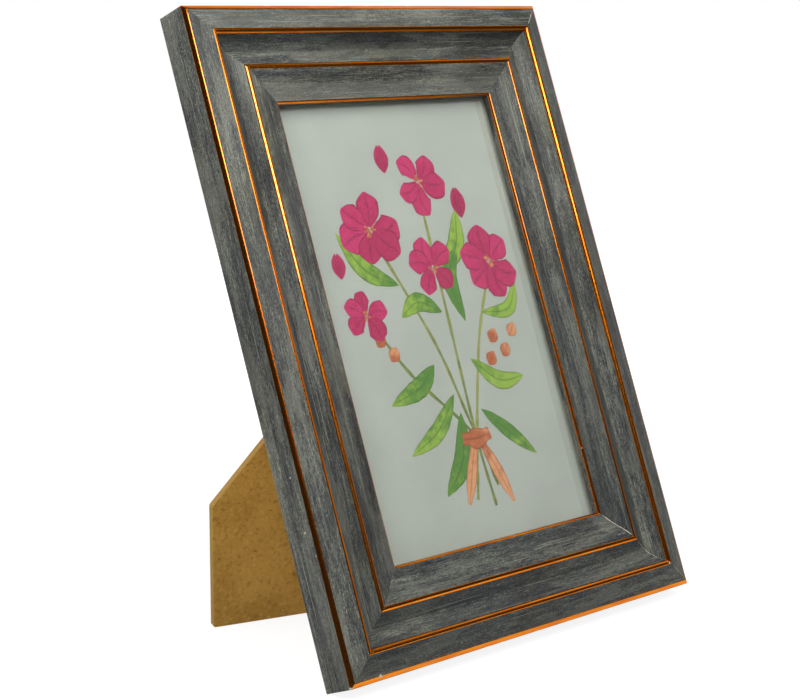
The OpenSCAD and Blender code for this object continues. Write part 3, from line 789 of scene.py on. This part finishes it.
def make_filler_line(index, x_sign, z_sign, runs, width, dice):
    """A hair of filler in a mitre, following the moulding's face."""
    spine = []
    for run in runs:
        spine += run_points(run)[1:-1]
    points = []
    for i, p in enumerate(spine):
        taper = math.sin(math.pi * (i + 0.5) / len(spine)) ** 1.4
        half = width / 2 * dice.uniform(0.6, 1.0) * taper
        for slide, under in ((-half, FILLER_SIDE), (0, FILLER_TOP), (half, FILLER_SIDE),
                             (half, FILLER_UNDER), (-half, FILLER_UNDER)):
            x, z = SIGHT_W / 2 + p.x + slide, SIGHT_H / 2 + p.x - slide
            points.append((x_sign * x, under - p.y, z_sign * z))
    piece = new_piece(f"mitre_filler_{index}", points, skin(len(spine), 5), [FILLER])
    turn_out(piece)
    smooth_faces(piece, 60)


# The print

ART_Y = -REBATE_D + GLASS_T + 0.14
LAYER_T = 0.004
PETAL = wash("petal_wash", srgb(190, 38, 98), srgb(168, 18, 78), srgb(100, 8, 46))
LEAF = wash("leaf_wash", srgb(140, 172, 60), srgb(70, 120, 34), srgb(34, 70, 24))
STEM = wash("stem_wash", srgb(150, 156, 80), srgb(98, 114, 46), srgb(72, 56, 34))
EARTH = wash("earth_wash", srgb(214, 150, 104), srgb(170, 86, 44), srgb(96, 46, 26))


class Painting:
    """Brush strokes of one colour, gathered into one thin mesh."""

    def __init__(self):
        self.points, self.faces, self.tints = [], [], []

    def stroke(self, spine, widths, layer, tint):
        """A stroke along a spine of (x, z) points, with a width at each."""
        start, columns = len(self.points), 7
        for i, (x, z) in enumerate(spine):
            before, after = spine[max(i - 1, 0)], spine[min(i + 1, len(spine) - 1)]
            across = left_of(Vector(before), Vector(after))
            for j in range(columns):
                share = j / (columns - 1)
                off = (share - 0.5) * widths[i]
                self.points.append((x + across.x * off, ART_Y - LAYER_T * layer, z + across.y * off))
                self.tints += (share, i / (len(spine) - 1), tint, 1.0)
        for i in range(len(spine) - 1):
            for j in range(columns - 1):
                a = start + i * columns + j
                self.faces.append((a, a + columns, a + columns + 1, a + 1))

    def finish(self, name, material):
        piece = new_piece(name, self.points, self.faces, [material])
        colours = piece.data.attributes.new("stroke", "FLOAT_COLOR", "POINT")
        colours.data.foreach_set("color", self.tints)


def curve(points, steps):
    """Points on a smooth curve through the given ones."""
    ends = [Vector(points[0]) * 2 - Vector(points[1])] + [Vector(p) for p in points]
    ends.append(ends[-1] * 2 - ends[-2])
    out = []
    for i in range(1, len(ends) - 2):
        a, b, c, d = ends[i - 1:i + 3]
        for k in range(steps):
            t = k / steps
            out.append(((b * 2) + (c - a) * t + (a * 2 - b * 5 + c * 4 - d) * t ** 2
                        + (b * 3 - a - c * 3 + d) * t ** 3) / 2)
    return out + [ends[-2]]


def blade(spine, width, wobble, dice, fullest=0.45, tip=0.04):
    """Widths along a spine that swell to fullest and taper to both ends."""
    widths = []
    for i in range(len(spine)):
        t = i / (len(spine) - 1)
        reach = t / fullest if t < fullest else (1 - t) / (1 - fullest)
        swell = math.sin(math.pi / 2 * max(0.0, reach)) ** 0.75
        widths.append(width * max(tip, swell) * (1 + dice.uniform(-wobble, wobble)))
    return widths


def blossom(petals, hearts, centre, size, count, turn, layer, dice):
    """An open flower: a ring of petals round a dark heart with pale dots."""
    centre = Vector(centre)
    for n in range(count):
        angle = turn + math.tau * n / count + dice.uniform(-0.12, 0.12)
        reach = size * dice.uniform(0.86, 1.08)
        aim = Vector((math.cos(angle), math.sin(angle)))
        sway = Vector((-aim.y, aim.x)) * dice.uniform(-0.16, 0.16) * size
        far = aim * reach
        spine = curve((centre + far * 0.08, centre + far * 0.55 + sway, centre + far), 6)
        widths = blade(spine, reach * dice.uniform(0.70, 0.86), 0.05, dice, 0.62, 0.12)
        petals.stroke(spine, widths, layer + n % 3, dice.uniform(0.1, 1.0))
    for n in range(7):
        angle = dice.uniform(0, math.tau)
        aim = Vector((math.cos(angle), math.sin(angle)))
        spine = [centre + aim * size * s for s in (0.02, 0.12, 0.2)]
        hearts.stroke(spine, [0.5, 0.7, 0.35], layer + 4, dice.uniform(0.2, 1.0))


def make_paper():
    """The sheet of paper, in small quads on both sides and one row round the rim."""
    half_w, half_h = PRINT_W / 2, PRINT_H / 2
    columns, rows = 26, 38
    points = []
    for y in (ART_Y, -REBATE_D + GLASS_T + SHEET_T):
        for r in range(rows + 1):
            for c in range(columns + 1):
                points.append((half_w * (2 * c / columns - 1), y, half_h * (2 * r / rows - 1)))
    layer = (columns + 1) * (rows + 1)
    faces = []
    for r in range(rows):
        for c in range(columns):
            a = r * (columns + 1) + c
            quad = (a, a + 1, a + columns + 2, a + columns + 1)
            faces.append(quad)
            faces.append(tuple(reversed([layer + i for i in quad])))
    rim = list(range(columns + 1))
    rim += [r * (columns + 1) + columns for r in range(1, rows + 1)]
    rim += [rows * (columns + 1) + c for c in range(columns - 1, -1, -1)]
    rim += [r * (columns + 1) for r in range(rows - 1, 0, -1)]
    for i, a in enumerate(rim):
        b = rim[(i + 1) % len(rim)]
        faces.append((b, a, a + layer, b + layer))
    paper = new_piece("print_paper", points, faces, [art_paper()])
    turn_out(paper)
    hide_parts("print_sheet")


TIE = Vector((4, -37))
STEM_ROUTES = (((12, -58), TIE, (-3, -8), (-17, 26)),
               ((5, -60), TIE, (5, 0), (6, 38)),
               ((-2, -57), TIE + Vector((1, 1)), (16, -8), (27, 12)),
               ((8, -54), TIE + Vector((-1, 0)), (-16, -16), (-27, 2)))
LEAF_ROUTES = (((-6, -14), (-14, -20), (-27, -24)), ((10, -14), (20, -22), (31, -22)),
               ((-1, -24), (-11, -34), (-24, -40)), ((9, -30), (18, -38), (28, -47)),
               ((3, 2), (-6, 6), (-14, 2)), ((12, -2), (10, 12), (16, 22)),
               ((-12, 12), (-24, 18), (-32, 30)), ((6, 14), (16, 22), (20, 34)),
               ((0, -30), (-4, -44), (-14, -54)), ((20, 0), (32, 0), (38, 8)))
HIP_PLACES = ((22, -8), (26, -13), (19, -15), (-21, -9), (-25, -4), (31, -7))
# End of each ribbon of the tie, and how far its middle leans out
RIBBONS = ((-6, -58, -9), (13, -60, 8))
# Centre, size, petals and turn of each flower, and place and size of each bud
FLOWERS = (((-18, 30), 12.5, 6, 0.3), ((7, 44), 11.0, 5, 1.1), ((29, 16), 11.5, 6, 0.7),
           ((-28, 4), 8.5, 5, 0.1), ((4, 16), 9.5, 5, 0.5))
BUDS = ((-6, 52, 4.5), (22, 36, 5.0), (-34, 20, 4.0))


def draw_stems(stems, dice):
    for k, route in enumerate(STEM_ROUTES):
        spine = curve(route, 12)
        widths = [0.9 + 0.5 * math.sin(i * 0.7 + k) ** 2 * dice.uniform(0.5, 1)
                  for i in range(len(spine))]
        stems.stroke(spine, widths, 1 + k % 2, dice.uniform(0.2, 0.9))


def draw_leaves(leaves, dice):
    for route in LEAF_ROUTES:
        spine = curve(route, 8)
        widths = blade(spine, dice.uniform(5.0, 7.2), 0.05, dice, 0.5)
        leaves.stroke(spine, widths, 4 + dice.randrange(4), dice.uniform(0.1, 1.0))


def draw_hips_and_tie(earth, dice):
    for x, z in HIP_PLACES:
        spine = curve(((x - 1.6, z - 1.8), (x, z), (x + 1.6, z + 2.2)), 5)
        widths = blade(spine, 4.6, 0.04, dice, 0.5, 0.15)
        earth.stroke(spine, widths, 9 + dice.randrange(2), dice.uniform(0.2, 1.0))
    for x, z, lean in RIBBONS:
        spine = curve((TIE, (TIE.x + lean * 0.5, -46), (x, z)), 7)
        earth.stroke(spine, blade(spine, 4.2, 0.08, dice, 0.7, 0.3), 11, dice.uniform(0.3, 1.0))
    band = curve((TIE + Vector((-6, -1)), TIE + Vector((0, -1.6)), TIE + Vector((6, -0.6))), 6)
    earth.stroke(band, blade(band, 6.5, 0.05, dice, 0.5, 0.6), 12, 0.8)


def draw_flowers(petals, hearts, dice):
    for k, (centre, size, count, turn) in enumerate(FLOWERS):
        blossom(petals, hearts, centre, size, count, turn, 13 + 3 * (k % 3), dice)
    for x, z, size in BUDS:
        for lean in (-1.1, 1.1):
            spine = curve(((x, z - size), (x + lean, z), (x + lean * 0.4, z + size)), 5)
            widths = blade(spine, size * 0.8, 0.05, dice, 0.5, 0.1)
            petals.stroke(spine, widths, 10, dice.uniform(0.4, 1.0))


def make_print():
    """A loose posy in watercolour on pale paper: fanned stems, open flowers, leaves and hips."""
    dice = random.Random(41)
    make_paper()
    stems, leaves, petals, earth = Painting(), Painting(), Painting(), Painting()
    draw_stems(stems, dice)
    draw_leaves(leaves, dice)
    draw_hips_and_tie(earth, dice)
    draw_flowers(petals, earth, dice)
    stems.finish("print_stems", STEM)
    leaves.finish("print_leaves", LEAF)
    petals.finish("print_petals", PETAL)
    earth.finish("print_hips_and_tie", EARTH)


# Pieces that keep the frame's own shape

def finish_node(name, material, edge_mm):
    """Gives a node its finish, and eases its edges by some millimetres."""
    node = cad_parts[name]
    node.data.materials.clear()
    node.data.materials.append(material)
    if edge_mm:
        weld = node.modifiers.new("joined", "WELD")
        weld.merge_threshold = 0.00001
        flat = node.modifiers.new("flat faces", "DECIMATE")
        flat.decimate_type = "DISSOLVE"
        flat.angle_limit = math.radians(1)
        ease = node.modifiers.new("eased edges", "BEVEL")
        ease.width = edge_mm * MM
        ease.segments = 2
        ease.limit_method = "ANGLE"
        ease.angle_limit = math.radians(40)
        node.modifiers.new("even shading", "WEIGHTED_NORMAL")


def finish_nodes():
    steel = plated_metal("zinc_plate", srgb(196, 198, 198), srgb(164, 167, 168),
                         srgb(122, 122, 118), 0.30)
    brass = plated_metal("brass_plate", srgb(226, 190, 116), srgb(196, 156, 84),
                         srgb(128, 96, 50), 0.22)
    # The strut's pale base colour is partly painted light that lifts its front face, which lies in
    # shade; its rear is toned down to the board's darker smooth side
    board = fibreboard("strut_fibreboard", srgb(222, 174, 84), srgb(200, 152, 66),
                       rear_direction("strut_board"), srgb(212, 206, 203))
    backing = fibreboard("back_fibreboard", srgb(160, 130, 78), srgb(138, 109, 60),
                         rear_direction("back_board"), srgb(255, 255, 255))
    finishes = ((window_glass(), 0.12, ["glass_pane"]),
                (brown_card(), 0.1, ["packing_card"]),
                (backing, 0.12, ["back_board"]),
                (board, 0.2, ["strut_board"]),
                (steel, 0.1, ["hinge_base_leaf", "hinge_flap_leaf"]),
                (steel, 0.12, ["hinge_base_rivets", "hinge_flap_rivets", "hinge_pin"]),
                (steel, 0.15, [f"turn_button_{side}" for side in SIDES]),
                (steel, 0.08, ["turn_button_screws"]),
                (steel, 0.0, ["corner_nails"]),
                (brass, 0.1, ["portrait_hanger_strap", "landscape_hanger_strap"]),
                (brass, 0.08, ["hanger_screws"]),
                (brass, 0.0, ["portrait_hanger_ring", "landscape_hanger_ring"]))
    for material, edge_mm, names in finishes:
        for name in names:
            finish_node(name, material, edge_mm)


# Studio: how strongly the table glows near the frame, and from where to where it rises to
# plain white, in millimetres; how strongly metal sees it, and from where to where that fades;
# and the world's fill
TABLE_GLOW, TABLE_NEAR, TABLE_FAR = 0.88, 160, 420
METAL_GLOW, METAL_NEAR, METAL_FAR = 0.75, 150, 230
FILL = 0.05

# The room that metal reflects: its dark and pale levels, and the bounds in which the pale wall
# fades in towards the right, towards the rear and downwards, as parts of a direction
WALL_DARK, WALL_PALE = 0.02, 0.95
RIGHT_BOUNDS, REAR_BOUNDS, TOP_BOUNDS = (0.72, 0.95), (-0.36, -0.08), (0.80, 0.70)
RIGHT_SHARE = 0.3

# Softboxes: turn from straight in front towards the right and height, in degrees, distance,
# width and height in metres, power in watts, and whether metal reflects it
SOFTBOXES = (("front", 4, 38.5, 0.66, 0.46, 0.19, 1.8, True),
             ("top", -22, 60, 0.45, 0.50, 0.30, 1.95, False),
             ("left", -58, 12, 0.90, 0.50, 0.50, 2.2, False),
             ("rear_left", -112, 30, 0.70, 0.45, 0.45, 2.7, False),
             ("rear_right", 108, 14, 0.90, 0.60, 0.50, 4.2, False),
             ("rear", 168, 8, 0.95, 0.70, 0.50, 6.5, False))


def table_material():
    """White table that shows as white where nothing shades it. Metal sees only its near part."""
    material, tree, shader, output = new_material("white_table")
    position = plain_position(tree)
    paper = tree.noise(position, 0.02, 2.0)
    colour = tree.mix(tree.step(paper, 0.3, 0.7), srgb(122, 122, 122), srgb(118, 118, 118))
    tree.fill(shader, Base_Color=colour, Roughness=0.9, Specular_IOR_Level=0.0)
    rays = tree.add("ShaderNodeLightPath").outputs
    seen = tree.math("MAXIMUM", rays["Is Camera Ray"], rays["Is Transmission Ray"])
    far = tree.vector("LENGTH", position, output="Value")
    level = tree.times(seen, tree.step(far, TABLE_NEAR, TABLE_FAR, TABLE_GLOW, 1.0))
    near = tree.step(far, METAL_NEAR, METAL_FAR, METAL_GLOW, 0.0)
    in_metal = tree.times(rays["Is Glossy Ray"], near)
    glow = tree.add("ShaderNodeEmission", {"Strength": tree.math("MAXIMUM", level, in_metal)})
    both = tree.add("ShaderNodeAddShader", {0: shader.outputs[0], 1: glow.outputs[0]})
    tree.fill(output, Surface=both.outputs[0])
    return material


def make_table():
    reach = 3.0
    mesh = bpy.data.meshes.new("white_table")
    corners = [(-reach, -reach, 0), (reach, -reach, 0), (reach, reach, 0), (-reach, reach, 0)]
    mesh.from_pydata(corners, [], [(0, 1, 2, 3)])
    mesh.materials.append(table_material())
    table = new_object("white_table", mesh)


def make_world():
    """White all round as seen, an even fill for matt surfaces, and for metal a room that is
    dark in front and pale to the right and behind, near the table."""
    world = bpy.data.worlds.new("studio")
    world.use_nodes = True
    tree = Tree(world.node_tree)
    background = world.node_tree.nodes["Background"]
    direction = tree.add("ShaderNodeTexCoord").outputs["Generated"]
    parts = tree.add("ShaderNodeSeparateXYZ", {0: direction}).outputs
    beside = tree.step(parts[0], *RIGHT_BOUNDS, 0.0, RIGHT_SHARE)
    behind = tree.step(parts[1], *REAR_BOUNDS)
    low = tree.step(parts[2], *TOP_BOUNDS)
    pale = tree.times(tree.math("MAXIMUM", beside, behind), low)
    metal = tree.math("MULTIPLY_ADD", pale, WALL_PALE, WALL_DARK)
    rays = tree.add("ShaderNodeLightPath").outputs
    glossy = rays["Is Glossy Ray"]
    matt = tree.math("SUBTRACT", 1.0, glossy)
    strength = tree.math("MULTIPLY_ADD", matt, FILL, tree.times(glossy, metal))
    seen = tree.math("MAXIMUM", rays["Is Camera Ray"], rays["Is Transmission Ray"])
    unseen = tree.math("SUBTRACT", 1.0, seen)
    level = tree.math("MULTIPLY_ADD", strength, unseen, seen)
    tree.fill(background, Color=(1, 1, 1, 1), Strength=level)
    bpy.context.scene.world = world


def make_softbox(name, turn, raised, far, wide, high, power, in_metal):
    data = bpy.data.lights.new(f"softbox_{name}", "AREA")
    data.shape = "RECTANGLE"
    data.size, data.size_y, data.energy = wide, high, power
    lamp = new_object(f"softbox_{name}", data)
    turn, raised = math.radians(turn), math.radians(raised)
    level = math.cos(raised)
    away = Vector((math.sin(turn) * level, -math.cos(turn) * level, math.sin(raised)))
    lamp.location = away * far + Vector((0, 0, FRAME_H * MM / 2))
    lamp.rotation_euler = away.to_track_quat("Z", "Y").to_euler()
    lamp.visible_camera = False
    lamp.visible_glossy = in_metal


def make_camera():
    data = bpy.data.cameras.new("camera")
    data.lens, data.sensor_width = CAMERA_LENS, 36
    data.shift_x, data.shift_y = CAMERA_SHIFT
    data.clip_start = 0.01
    camera = new_object("camera", data)
    camera.location = CAMERA_PLACE
    camera.rotation_euler = [math.radians(a) for a in CAMERA_TURN]
    bpy.context.scene.camera = camera


def make_frame_pieces():
    dice = random.Random(12)
    for side in SIDES:
        make_rail(side, dice)
    for run in FOIL_RUNS:
        make_foil(run, dice)
    for index, (x_sign, z_sign, runs, width) in enumerate(FILLED):
        make_filler_line(index, x_sign, z_sign, runs, width, dice)


make_camera()
make_table()
make_world()
for softbox in SOFTBOXES:
    make_softbox(*softbox)
make_frame_pieces()
make_print()
finish_nodes()
bpy.context.scene.view_settings.view_transform = "Standard"
